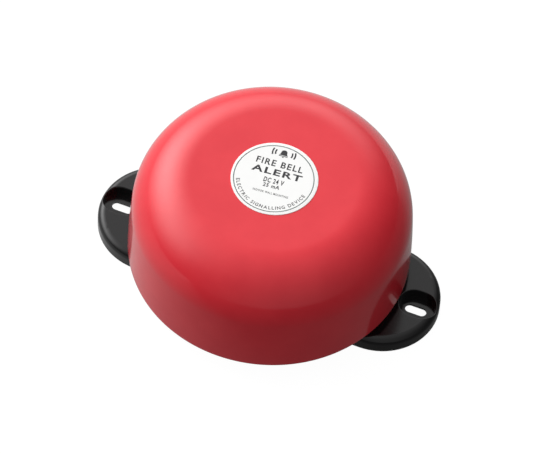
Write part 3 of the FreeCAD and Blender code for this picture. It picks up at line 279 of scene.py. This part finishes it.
def winding_copper():
    """Enamelled magnet wire: a clear amber lacquer over copper."""
    finish = Finish("winding_copper", Metallic=1.0, Coat_Weight=0.8, Coat_Roughness=0.12)
    colour = finish.mixed(finish.noise(1.5 * MM, 3.0), (0.42, 0.13, 0.04), (0.60, 0.22, 0.07))
    finish.bump(finish.noise(0.15 * MM, 2.0), 0.002 * MM)
    return finish.done(colour, finish.spread(finish.noise(0.8 * MM), 0.3, 0.7, 0.24, 0.36))


def board_laminate():
    """Green solder mask over woven glass: the weave shows faintly through the mask."""
    finish = Finish("board_laminate", Coat_Weight=0.3, Coat_Roughness=0.15)
    weave = []
    for direction in ("X", "Y"):
        wave = finish.node("TexWave", bands_direction=direction)
        wave.inputs["Scale"].default_value = ONE_BAND
        finish.feed(wave.inputs["Vector"], finish.placed(0.8 * MM, (1, 1, 1)))
        weave.append(wave.outputs["Fac"])
    cloth = finish.sum("MULTIPLY", *weave)
    colour = finish.mixed(cloth, (0.010, 0.085, 0.030), (0.018, 0.125, 0.045))
    clouds = finish.spread(finish.noise(9 * MM, 3.0), 0.4, 0.7, 0.0, 0.25)
    colour = finish.mixed(clouds, colour, (0.02, 0.15, 0.06))
    finish.bump(cloth, 0.006 * MM)
    return finish.done(colour, finish.spread(finish.noise(3 * MM), 0.3, 0.7, 0.28, 0.38))


def rubber():
    """Soft black rubber: matt, with a bloom of grey and fine pores."""
    finish = Finish("rubber")
    bloom = finish.spread(finish.noise(3 * MM, 5.0), 0.45, 0.75, 0.0, 0.35)
    colour = finish.mixed(bloom, (0.012, 0.012, 0.012), (0.055, 0.053, 0.050))
    finish.bump(finish.noise(0.25 * MM, 4.0), 0.02 * MM)
    return finish.done(colour, finish.spread(finish.noise(1 * MM), 0.3, 0.7, 0.62, 0.78))


def wire_sheath(name, colour):
    """PVC insulation: slightly waxy, with faint extrusion ripples."""
    finish = Finish(name, Subsurface_Weight=0.05)
    scuffed = [channel * 0.7 + 0.08 for channel in colour]
    shade = finish.mixed(finish.spread(finish.noise(2.5 * MM, 5.0), 0.5, 0.8, 0.0, 0.4), colour, scuffed)
    finish.bump(finish.noise(0.4 * MM, 2.0), 0.01 * MM)
    return finish.done(shade, finish.spread(finish.noise(1.5 * MM), 0.3, 0.7, 0.34, 0.46))


def banded_body(name, node, axis, body_colour, bands):
    """A small component's lacquered body with painted bands at shares of its length."""
    finish = Finish(name, Coat_Weight=0.5, Coat_Roughness=0.1)
    low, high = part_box(node)
    place = finish.node("SeparateXYZ")
    finish.feed(place.inputs["Vector"], finish.coordinates)
    along = finish.spread(place.outputs["XYZ"[axis]], low[axis], high[axis])
    shade = finish.mixed(finish.noise(0.9 * MM, 4.0), body_colour, [c * 1.3 + 0.01 for c in body_colour])
    for middle, half_width, colour in bands:
        away = finish.sum("ABSOLUTE", finish.sum("SUBTRACT", along, middle))
        shade = finish.mixed(finish.sum("LESS_THAN", away, half_width), shade, colour)
    wire = (0.60, 0.58, 0.55)
    shade = finish.mixed(finish.sum("LESS_THAN", along, 0.16), shade, wire)
    shade = finish.mixed(finish.sum("GREATER_THAN", along, 0.84), shade, wire)
    finish.bump(finish.noise(0.3 * MM, 3.0), 0.006 * MM)
    return finish.done(shade, finish.spread(finish.noise(0.7 * MM), 0.3, 0.7, 0.3, 0.42))


# ---------------------------------------------------------------- mesh helpers

def make_piece(name, bm, material, body):
    """Turns a finished bmesh into a smooth-shaded piece that rides on a body."""
    mesh = bpy.data.meshes.new(name)
    bm.to_mesh(mesh)
    bm.free()
    mesh.shade_smooth()
    mesh.set_sharp_from_angle(angle=SHARP_ANGLE)
    mesh.materials.append(material)
    piece = bpy.data.objects.new(name, mesh)
    bpy.context.scene.collection.objects.link(piece)
    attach(piece, body)
    return piece


def lathe(bm, profile, sides, closed=False):
    """Turns a profile of (radius, height) about +Z; points on the axis close it with a fan."""
    rings = []
    for radius, height in profile:
        ring = []
        for side in range(1 if radius == 0 else sides):
            angle = math.tau * side / sides
            ring.append(bm.verts.new((radius * math.cos(angle), radius * math.sin(angle), height)))
        rings.append(ring)
    following = rings[1:] + (rings[:1] if closed else [])
    for lower, upper in zip(rings, following):
        for side in range(sides):
            beside = (side + 1) % sides
            corners = [lower[side % len(lower)], lower[beside % len(lower)],
                       upper[beside % len(upper)], upper[side % len(upper)]]
            bm.faces.new(dict.fromkeys(corners))
    bmesh.ops.recalc_face_normals(bm, faces=bm.faces)


def arc(centre, radius, start, end, steps):
    """Points along an arc of a profile; angles in degrees from straight outward."""
    points = []
    for step in range(steps + 1):
        angle = math.radians(start + (end - start) * step / steps)
        points.append((centre[0] + radius * math.cos(angle), centre[1] + radius * math.sin(angle)))
    return points


def prism(bm, outline, bottom, top, place=Matrix.Identity(4)):
    """A closed solid between two levels over a flat outline that turns to the left."""
    lower = [bm.verts.new(place @ Vector((x, y, bottom))) for x, y in outline]
    upper = [bm.verts.new(place @ Vector((x, y, top))) for x, y in outline]
    bm.faces.new(lower[::-1])
    bm.faces.new(upper)
    for index, vertex in enumerate(lower):
        beside = (index + 1) % len(lower)
        bm.faces.new((vertex, lower[beside], upper[beside], upper[index]))


# ---------------------------------------------------------------- gong

GONG_WALL_ARC = 496 * MM
GONG_WALL_ANGLE = 3.95
GONG_SHEET = 1.8 * MM
GONG_RIM_ROUND = 0.6 * MM
GONG_DIMPLE_RADIUS = 15 * MM
GONG_DIMPLE_FLOOR = 12 * MM
GONG_DIMPLE_DEPTH = 4.2 * MM
GONG_HOLE = 2.8 * MM
GONG_SIDES = 240


def make_gong(material):
    """The dome, turned as one closed sheet: outer skin from the hole to the rim, inner skin back."""
    low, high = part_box("gong")
    rim, top, radius = low.z, high.z, high.x
    wall_centre = (radius - GONG_WALL_ARC, rim)
    wall_top = arc(wall_centre, GONG_WALL_ARC, GONG_WALL_ANGLE, GONG_WALL_ANGLE, 1)[0]
    rise, inward = math.sin(math.radians(GONG_WALL_ANGLE)), math.cos(math.radians(GONG_WALL_ANGLE))
    shoulder = (top - wall_top[1]) / (1 - rise)
    shoulder_centre = (wall_top[0] - shoulder * inward, top - shoulder)
    floor = top - GONG_DIMPLE_DEPTH
    bend = GONG_SHEET / 2
    rim_start = math.degrees(math.asin(GONG_RIM_ROUND / GONG_WALL_ARC))

    def skin(offset):
        """From the edge of the face down to just above the rim, this far inside the outer surface."""
        face = arc(shoulder_centre, shoulder - offset, 90, GONG_WALL_ANGLE, 48)
        wall = arc(wall_centre, GONG_WALL_ARC - offset, GONG_WALL_ANGLE, rim_start, 14)
        return face + wall[1:]

    def flat(outer, inner, height, steps):
        """A flat ring of the profile, split so that the shading stays even."""
        return [(outer + (inner - outer) * step / steps, height) for step in range(1, steps)]

    outer, inner = skin(0), skin(GONG_SHEET)
    rim_level = rim + GONG_RIM_ROUND
    rim_outer = arc((radius - GONG_RIM_ROUND, rim_level), GONG_RIM_ROUND, 0, -90, 6)
    rim_inner = arc((radius - GONG_SHEET + GONG_RIM_ROUND, rim_level), GONG_RIM_ROUND, -90, -180, 6)
    profile = [(GONG_HOLE, floor), (GONG_DIMPLE_FLOOR - bend, floor)]
    profile += arc((GONG_DIMPLE_FLOOR - bend, floor + bend), bend, -90, -36, 4)[1:]
    profile += arc((GONG_DIMPLE_RADIUS + bend, top - bend), bend, 144, 90, 4)
    profile += flat(GONG_DIMPLE_RADIUS + bend, outer[0][0], top, 8) + outer
    profile += rim_outer[1:] + rim_inner + inner[::-1][1:]
    profile += flat(inner[0][0], GONG_DIMPLE_RADIUS + GONG_SHEET, top - GONG_SHEET, 8)
    profile += [(GONG_DIMPLE_RADIUS + bend, top - GONG_SHEET), (GONG_DIMPLE_FLOOR + bend, floor - GONG_SHEET),
                (GONG_HOLE, floor - GONG_SHEET)]
    bm = bmesh.new()
    lathe(bm, profile, GONG_SIDES, closed=True)
    gong = make_piece("gong_dome", bm, material, "bell")
    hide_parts("gong")


# ---------------------------------------------------------------- label

LABEL_TURN = math.radians(5)
LABEL_SHIFT = (-0.36 * MM, -0.11 * MM)
INK_RISE = 0.02 * MM
INK_SINK = 0.01 * MM
LABEL_EDGE = 0.08 * MM
LABEL_SIDES = 180
LETTER_SPACING = 1.2
PLAIN_STROKE = 0.02
HEAVY_STROKE = 0.03


def label_place():
    """From the print's own flat frame to its place on the gong."""
    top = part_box("gong_label")[1].z
    return Matrix.Translation((*LABEL_SHIFT, top)) @ Matrix.Rotation(LABEL_TURN, 4, "Z")


def letter_mesh(text, bold):
    """Raised lettering as a mesh, half a unit to each side of its plane."""
    curve = bpy.data.curves.new("lettering", "FONT")
    curve.body = text
    curve.offset = bold
    curve.space_character = LETTER_SPACING
    curve.extrude = 0.5
    curve.resolution_u = 3
    holder = bpy.data.objects.new("lettering", curve)
    bpy.context.scene.collection.objects.link(holder)
    evaluated = holder.evaluated_get(bpy.context.evaluated_depsgraph_get())
    mesh = bpy.data.meshes.new_from_object(evaluated)
    bpy.data.objects.remove(holder)
    return mesh


def add_letters(bm, text, left, right, baseline, height, bold=PLAIN_STROKE, place=None):
    """Prints one line whose capitals fill the given width and height."""
    mesh = letter_mesh(text, bold)
    xs = [vertex.co.x for vertex in mesh.vertices]
    ys = [vertex.co.y for vertex in mesh.vertices]
    across = (right - left) / (max(xs) - min(xs))
    up = height / (max(ys) - min(ys))
    for vertex in mesh.vertices:
        x = left + (vertex.co.x - min(xs)) * across
        y = baseline + (vertex.co.y - min(ys)) * up
        z = INK_RISE if vertex.co.z > 0 else -INK_SINK
        vertex.co = (place or label_place()) @ Vector((x, y, z))
    bm.from_mesh(mesh)
    bpy.data.meshes.remove(mesh)


def add_curved_letters(bm, text, radius, height, start, end):
    """Prints a line along the bottom of a circle, letters upright at the lowest point."""
    gap = 0.28
    widths = []
    for letter in text:
        if letter == " ":
            widths.append(0.35)
            continue
        mesh = letter_mesh(letter, PLAIN_STROKE)
        xs = [vertex.co.x for vertex in mesh.vertices]
        ys = [vertex.co.y for vertex in mesh.vertices]
        widths.append((max(xs) - min(xs)) / (max(ys) - min(ys)))
        bpy.data.meshes.remove(mesh)
    total = sum(widths) + gap * (len(text) - 1)
    unit = math.radians(end - start) / total
    walked = 0.0
    for letter, width in zip(text, widths):
        middle = math.radians(start) + (walked + width / 2) * unit
        walked += width + gap
        if letter == " ":
            continue
        centre = Vector((math.cos(middle), math.sin(middle), 0)) * radius
        turn = Matrix.Rotation(middle + math.pi / 2, 4, "Z")
        half = width * unit * radius / 2
        add_letters(bm, letter, -half, half, -height / 2, height,
                    place=label_place() @ Matrix.Translation(centre) @ turn)


def ring_sector(inner, outer, start, end, centre=(0, 0), steps=16):
    """A flat outline: a piece of a ring, turning to the left."""
    return arc(centre, outer, start, end, steps) + arc(centre, inner, end, start, steps)


def add_bell_sign(bm, centre, height):
    """A plain bell pictogram with two sound lines on each side."""
    x, y = centre
    radius = height * 0.34
    foot = y - height * 0.26
    flare = radius * 1.45
    dome = arc((x, y + height * 0.10), radius, 0, 180, 20)
    body = [(x - flare, foot), (x + flare, foot), (x + radius * 1.05, y - height * 0.08)]
    body += dome + [(x - radius * 1.05, y - height * 0.08)]
    place = label_place()
    prism(bm, body, -INK_SINK, INK_RISE, place)
    brim = foot - height * 0.06
    prism(bm, [(x - flare, brim - height * 0.10), (x + flare, brim - height * 0.10), (x + flare, brim),
               (x - flare, brim)], -INK_SINK, INK_RISE, place)
    prism(bm, arc((x, brim - height * 0.15), height * 0.11, 180, 360, 10), -INK_SINK, INK_RISE, place)
    for reach in (0.85, 1.18):
        for start, end in ((-20, 20), (160, 200)):
            line = ring_sector(height * reach, height * (reach + 0.17), start, end, centre)
            prism(bm, line, -INK_SINK, INK_RISE, place)


def make_label(foil, dark_ink, small_ink, ring_ink):
    """The foil disc and everything printed on it."""
    low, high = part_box("gong_label")
    radius = high.x
    bm = bmesh.new()
    profile = [(0, low.z), (radius * 0.5, low.z), (radius, low.z)]
    profile += arc((radius - LABEL_EDGE, high.z - LABEL_EDGE), LABEL_EDGE, 0, 90, 5)
    profile += [(radius * share, high.z) for share in (0.9, 0.75, 0.5, 0.25)] + [(0, high.z)]
    lathe(bm, profile, LABEL_SIDES)
    disc = make_piece("label_disc", bm, foil, "bell")
    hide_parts("gong_label")

    bm = bmesh.new()
    add_bell_sign(bm, (0.7 * MM, 16.8 * MM), 4.8 * MM)
    add_letters(bm, "FIRE BELL", -12.0 * MM, 13.0 * MM, 7.5 * MM, 3.9 * MM)
    add_letters(bm, "ALERT", -12.9 * MM, 14.0 * MM, 2.0 * MM, 4.0 * MM, bold=HEAVY_STROKE)
    add_letters(bm, "DC 24 V", -4.9 * MM, 5.9 * MM, -3.2 * MM, 3.2 * MM, bold=HEAVY_STROKE)
    add_letters(bm, "25 mA", -4.3 * MM, 4.5 * MM, -6.1 * MM, 2.4 * MM, bold=HEAVY_STROKE)
    bmesh.ops.remove_doubles(bm, verts=bm.verts, dist=SAME_PLACE)
    make_piece("label_print_dark", bm, dark_ink, "bell")

    bm = bmesh.new()
    add_letters(bm, "INDOOR WALL MOUNTING", -8.6 * MM, 10.4 * MM, -10.0 * MM, 1.3 * MM)
    add_curved_letters(bm, "ELECTRIC SIGNALLING DEVICE", 18.6 * MM, 2.0 * MM, -163, -17)
    bmesh.ops.remove_doubles(bm, verts=bm.verts, dist=SAME_PLACE)
    make_piece("label_print_small", bm, small_ink, "bell")

    bm = bmesh.new()
    line = 0.26 * MM
    ring = 20.9 * MM
    section = [(ring - line, -INK_SINK), (ring + line, -INK_SINK)]
    section += [(ring + line, INK_RISE), (ring - line, INK_RISE)]
    lathe(bm, section, LABEL_SIDES, closed=True)
    bmesh.ops.transform(bm, matrix=label_place(), verts=bm.verts)
    make_piece("label_print_ring", bm, ring_ink, "bell")


# ---------------------------------------------------------------- dressing the CAD nodes

def dress(material, *names):
    """Gives carried-over CAD nodes their finish."""
    for name in names:
        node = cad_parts[name]
        for slot in node.material_slots:
            slot.material = material


# ---------------------------------------------------------------- camera, light and floor

CAMERA_AZIMUTH = math.radians(17.6)
CAMERA_ELEVATION = math.radians(55.7)
CAMERA_ROLL = math.radians(4.5)
CAMERA_DISTANCE = 2.5
CAMERA_SHIFT = (3.0 * MM, -6.5 * MM)
AIM_HEIGHT = 45 * MM
SENSOR_WIDTH = 36.0
LENS_LENGTH = 310.5
FAR_LIMIT = 50.0


def make_camera():
    """A long lens above the front: the object's own vertical leans a little to the left."""
    flat = math.cos(CAMERA_ELEVATION)
    back = Vector((math.sin(CAMERA_AZIMUTH) * flat, -math.cos(CAMERA_AZIMUTH) * flat,
                   math.sin(CAMERA_ELEVATION)))
    right = Vector((math.cos(CAMERA_AZIMUTH), math.sin(CAMERA_AZIMUTH), 0))
    up = back.cross(right)
    aim = Vector((0, 0, AIM_HEIGHT)) + right * CAMERA_SHIFT[0] + up * CAMERA_SHIFT[1]
    rolled_right = right * math.cos(CAMERA_ROLL) + up * math.sin(CAMERA_ROLL)
    rolled_up = up * math.cos(CAMERA_ROLL) - right * math.sin(CAMERA_ROLL)
    lens = bpy.data.cameras.new("camera")
    lens.sensor_width = SENSOR_WIDTH
    lens.lens = LENS_LENGTH
    lens.clip_end = FAR_LIMIT
    camera = bpy.data.objects.new("camera", lens)
    axes = Matrix((rolled_right, rolled_up, back)).transposed().to_4x4()
    camera.matrix_world = Matrix.Translation(aim + back * CAMERA_DISTANCE) @ axes
    bpy.context.scene.collection.objects.link(camera)
    bpy.context.scene.camera = camera


# A plain studio. Azimuth from +X, elevation and width in degrees, and brightness
SOFT_LIGHTS = (
    ("softbox behind left", 150, 30, 40, 5.5),
    ("softbox left", 190, 35, 40, 2.5),
    ("softbox behind", 100, 25, 35, 2.0),
    ("softbox overhead", 150, 80, 80, 0.8),
    ("fill in front", -60, 15, 90, 0.45),
)
FLOOR_RADIUS = 12.0
FLOOR_SEEN = 0.97
FLOOR_SHADE = 0.08
# The floor's painted glow in reflections: dim in front, a painted shadow of the bell, and bright behind,
# toward the lights.
FLOOR_GLOW_IN_FRONT = 0.12
FLOOR_GLOW_BEHIND = 0.6
FLOOR_GLOW_REACH = 80 * MM
FLOOR_GLOW_SIDE = 145


def direction(azimuth, elevation):
    azimuth, elevation = math.radians(azimuth), math.radians(elevation)
    return Vector((math.cos(azimuth) * math.cos(elevation), math.sin(azimuth) * math.cos(elevation),
                   math.sin(elevation)))


def make_world():
    """A studio of soft glows on a dim room; the camera itself sees a plain pale backdrop."""
    world = bpy.data.worlds.new("studio")
    bpy.context.scene.world = world
    world.use_nodes = True
    tree = world.node_tree
    tree.nodes.clear()

    def maths(kind, first, second=0.0):
        node = tree.nodes.new("ShaderNodeMath")
        node.operation = kind
        for socket, value in zip(node.inputs, (first, second)):
            if isinstance(value, bpy.types.NodeSocket):
                tree.links.new(value, socket)
            else:
                socket.default_value = value
        return node.outputs["Value"]

    looking = tree.nodes.new("ShaderNodeTexCoord").outputs["Generated"]
    total = 0.0
    for name, azimuth, elevation, width, brightness in SOFT_LIGHTS:
        towards = tree.nodes.new("ShaderNodeVectorMath")
        towards.label = name
        towards.operation = "DOT_PRODUCT"
        tree.links.new(looking, towards.inputs[0])
        towards.inputs[1].default_value = direction(azimuth, elevation)
        sharpness = math.log(2) / (1 - math.cos(math.radians(width / 2)))
        falloff = maths("MULTIPLY", maths("SUBTRACT", towards.outputs["Value"], 1.0), sharpness)
        glow = maths("MULTIPLY", maths("EXPONENT", falloff), brightness)
        total = maths("ADD", total, glow)

    background = tree.nodes.new("ShaderNodeBackground")
    tree.links.new(total, background.inputs["Strength"])
    backdrop = tree.nodes.new("ShaderNodeBackground")
    backdrop.inputs["Color"].default_value = (1, 1, 1, 1)
    mix = tree.nodes.new("ShaderNodeMixShader")
    tree.links.new(tree.nodes.new("ShaderNodeLightPath").outputs["Is Camera Ray"], mix.inputs["Fac"])
    tree.links.new(background.outputs["Background"], mix.inputs[1])
    tree.links.new(backdrop.outputs["Background"], mix.inputs[2])
    tree.links.new(mix.outputs["Shader"], tree.nodes.new("ShaderNodeOutputWorld").inputs["Surface"])


def make_floor():
    """A wide pale sheet under the bell. In reflections it is a painted glow that gives off its own light
    instead of being lit: dimmer than seen straight on, and dimmest in front, away from the lights, as a
    painted shadow of the bell.
    """
    bm = bmesh.new()
    bmesh.ops.create_circle(bm, cap_ends=True, segments=64, radius=FLOOR_RADIUS)
    mesh = bpy.data.meshes.new("floor")
    bm.to_mesh(mesh)
    bm.free()
    floor = bpy.data.objects.new("floor", mesh)
    bpy.context.scene.collection.objects.link(floor)
    material = bpy.data.materials.new("floor")
    material.use_nodes = True
    tree = material.node_tree
    tree.nodes.clear()

    def shader(kind, **values):
        node = tree.nodes.new("ShaderNode" + kind)
        for socket, value in values.items():
            node.inputs[socket].default_value = value
        return node

    pale = shader("Emission", Strength=FLOOR_SEEN)
    shaded = shader("BsdfDiffuse", Color=(FLOOR_SHADE, FLOOR_SHADE, FLOOR_SHADE, 1))
    seen = shader("AddShader")
    # Painted glow: in reflections the floor shines by itself, brighter behind and left, and darker in front
    # as a painted shadow of the bell.
    painted_floor_glow = shader("Emission")
    towards_lights = tree.nodes.new("ShaderNodeVectorMath")
    towards_lights.operation = "DOT_PRODUCT"
    towards_lights.inputs[1].default_value = direction(FLOOR_GLOW_SIDE, 0)
    tree.links.new(tree.nodes.new("ShaderNodeTexCoord").outputs["Object"], towards_lights.inputs[0])
    glow = tree.nodes.new("ShaderNodeMapRange")
    tree.links.new(towards_lights.outputs["Value"], glow.inputs["Value"])
    glow.inputs["From Min"].default_value = -FLOOR_GLOW_REACH
    glow.inputs["From Max"].default_value = FLOOR_GLOW_REACH
    glow.inputs["To Min"].default_value = FLOOR_GLOW_IN_FRONT
    glow.inputs["To Max"].default_value = FLOOR_GLOW_BEHIND
    tree.links.new(glow.outputs["Result"], painted_floor_glow.inputs["Strength"])
    mix = shader("MixShader")
    tree.links.new(pale.outputs[0], seen.inputs[0])
    tree.links.new(shaded.outputs[0], seen.inputs[1])
    tree.links.new(tree.nodes.new("ShaderNodeLightPath").outputs["Is Camera Ray"], mix.inputs[0])
    tree.links.new(painted_floor_glow.outputs[0], mix.inputs[1])
    tree.links.new(seen.outputs[0], mix.inputs[2])
    tree.links.new(mix.outputs[0], tree.nodes.new("ShaderNodeOutputMaterial").inputs["Surface"])
    mesh.materials.append(material)


# ---------------------------------------------------------------- the bell

make_gong(red_enamel())
make_label(label_foil(), ink("dark_ink", (0.015, 0.015, 0.018)),
           ink("small_ink", (0.05, 0.05, 0.05)), ink("ring_ink", (0.12, 0.15, 0.14)))

dress(black_moulding(), "base")
dress(zinc_plate(), "gong_screw", "gong_washer", "pillar", "pillar_screw", "chassis_plate", "chassis_screws",
      "motor_bracket", "bracket_screws", "motor_screws", "board_screws", "terminal_screws",
      "striker_carrier", "hammer_arm_a", "hammer_arm_b")
dress(drawn_steel(), "motor_can")
dress(moulded_plastic("motor_cap_plastic", (0.030, 0.030, 0.032), 0.40), "motor_end_cap")
dress(ferrite(), "motor_magnets")
dress(sintered_bronze(), "motor_bush_front", "motor_bush_rear")
dress(turned_metal("brass_metal", (0.72, 0.49, 0.20), 0.22), "motor_brushes", "terminal_clamps")
dress(turned_metal("tinned_copper", (0.70, 0.68, 0.64), 0.30), "motor_terminals", "supply_lead_tips")
dress(board_laminate(), "circuit_board")
dress(moulded_plastic("nylon", (0.78, 0.77, 0.72), 0.38), "board_spacers")
dress(moulded_plastic("capacitor_sleeve", (0.012, 0.018, 0.060), 0.25), "capacitor")
dress(banded_body("diode_body", "diode", 0, (0.015, 0.015, 0.016), ((0.72, 0.04, (0.6, 0.6, 0.6)),)), "diode")
dress(banded_body("resistor_body", "resistor", 0, (0.50, 0.36, 0.20), (
    (0.28, 0.028, (0.55, 0.02, 0.01)), (0.41, 0.028, (0.02, 0.02, 0.35)),
    (0.54, 0.028, (0.10, 0.035, 0.01)), (0.74, 0.028, (0.60, 0.42, 0.10)))), "resistor")
dress(moulded_plastic("terminal_plastic", (0.020, 0.160, 0.070), 0.34), "terminal_block")
dress(rubber(), "gong_pad", "cable_grommet")
dress(wire_sheath("insulation_red", (0.55, 0.015, 0.012)), "supply_lead_red", "motor_lead_red")
dress(wire_sheath("insulation_black", (0.014, 0.014, 0.015)), "supply_lead_black", "motor_lead_black")
dress(turned_metal("hardened_steel", (0.46, 0.45, 0.44), 0.20), "motor_shaft", "carrier_set_screw",
      "hammer_pins", "pin_clips", "hammer_head_a", "hammer_head_b")
dress(core_steel(), "motor_armature")
dress(winding_copper(), "armature_winding")
dress(turned_metal("commutator_copper", (0.72, 0.33, 0.18), 0.22), "commutator")

make_camera()
make_world()
make_floor()
bpy.context.scene.view_settings.view_transform = "Standard"
